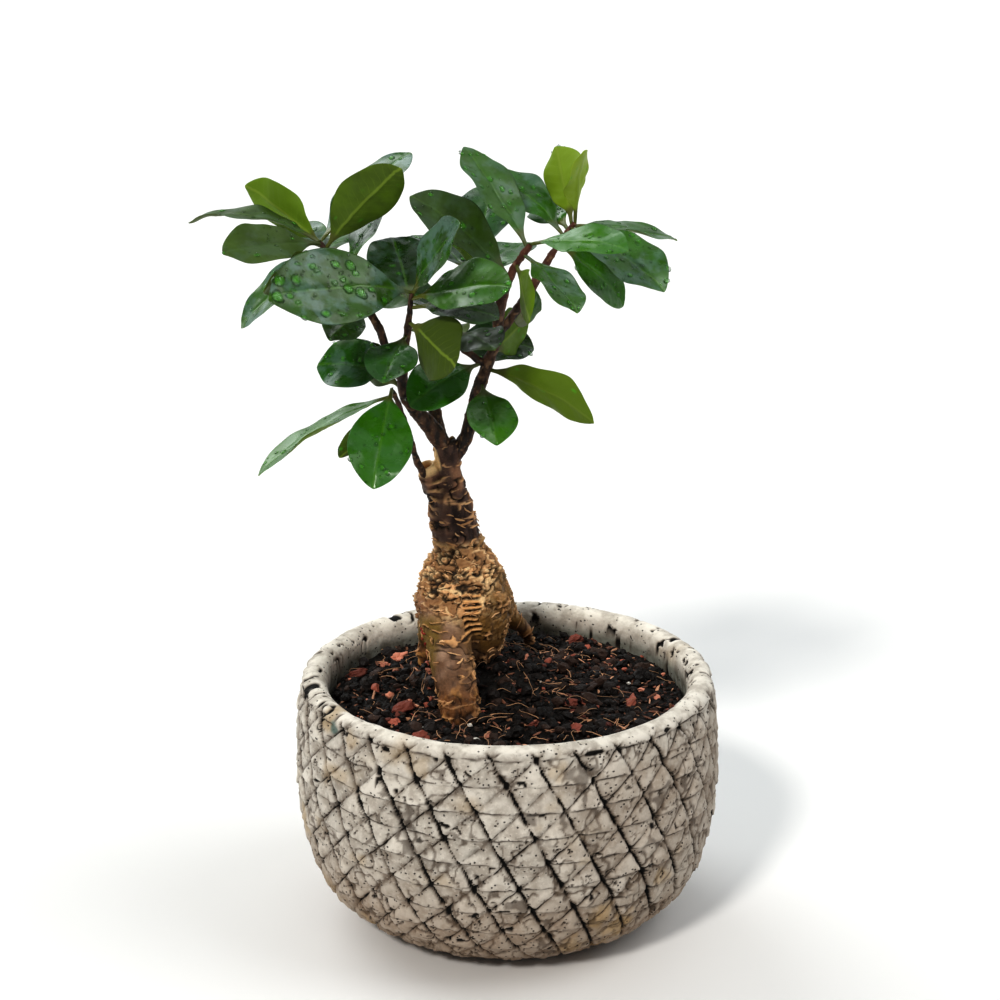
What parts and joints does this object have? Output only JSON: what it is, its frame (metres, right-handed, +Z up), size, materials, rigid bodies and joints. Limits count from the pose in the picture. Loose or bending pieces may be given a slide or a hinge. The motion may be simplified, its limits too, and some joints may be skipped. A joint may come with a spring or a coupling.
{
  "type": "bonsai tree in a pot",
  "caption": "Small ficus bonsai with a swollen grafted trunk and glossy oval leaves, growing in dark soil in a round cement pot carved with a lozenge pattern",
  "frame": {"origin": "centre of the pot's flat underside, on the surface that it stands on", "axes": "+Z up, -Y towards the viewer of the reference view, +X to that viewer's right; the origin is on the axis of the round pot"},
  "size_m": [0.1949, 0.16, 0.2905],
  "materials": {
    "cement": "matte, pitted and carved cast cement",
    "soil": "loose dark granules of potting mix, matte",
    "bark": "rough flaking bark with horizontal ridges",
    "twig_bark": "finely cracked dark bark",
    "leaf": "waxy and glossy on top, satin olive underneath",
    "water": "clear droplets of water"
  },
  "bodies": {
    "root": {"pot": "cement", "soil": "soil", "trunk": "bark", "left_branch": "twig_bark", "middle_branch": "twig_bark", "right_branch": "twig_bark", "left_twig": "twig_bark", "left_shoot": "twig_bark", "right_twig": "twig_bark", "inner_twig": "twig_bark", "leaf_left_twig_1": "leaf", "leaf_left_twig_2": "leaf", "leaf_left_twig_3": "leaf", "leaf_left_twig_4": "leaf", "leaf_left_twig_5": "leaf", "leaf_left_twig_6": "leaf", "leaf_left_twig_7": "leaf", "leaf_left_twig_8": "leaf", "leaf_left_twig_9": "leaf", "leaf_left_twig_10": "leaf", "leaf_left_twig_11": "leaf", "leaf_left_branch_1": "leaf", "leaf_left_branch_2": "leaf", "leaf_left_branch_3": "leaf", "leaf_left_branch_4": "leaf", "leaf_left_branch_5": "leaf", "leaf_left_branch_6": "leaf", "leaf_left_branch_7": "leaf", "leaf_left_branch_8": "leaf", "leaf_left_branch_9": "leaf", "leaf_right_branch_1": "leaf", "leaf_right_branch_2": "leaf", "leaf_right_branch_3": "leaf", "leaf_right_branch_4": "leaf", "leaf_right_branch_5": "leaf", "leaf_right_branch_6": "leaf", "leaf_right_branch_7": "leaf", "leaf_right_branch_8": "leaf", "leaf_right_branch_9": "leaf", "leaf_right_branch_10": "leaf", "leaf_right_branch_11": "leaf", "leaf_right_twig_1": "leaf", "leaf_right_twig_2": "leaf", "leaf_right_twig_3": "leaf", "leaf_right_twig_4": "leaf", "leaf_right_twig_5": "leaf", "leaf_right_twig_6": "leaf", "leaf_right_twig_7": "leaf", "leaf_inner_twig_1": "leaf", "leaf_inner_twig_2": "leaf", "leaf_left_shoot_1": "leaf", "leaf_left_shoot_2": "leaf", "leaf_left_shoot_3": "leaf", "leaf_middle_branch_1": "leaf", "leaf_middle_branch_2": "leaf", "leaf_middle_branch_3": "leaf", "leaf_middle_branch_4": "leaf", "leaf_middle_branch_5": "leaf", "leaf_middle_branch_6": "leaf", "leaf_middle_branch_7": "leaf"}
  },
  "joints": []
}
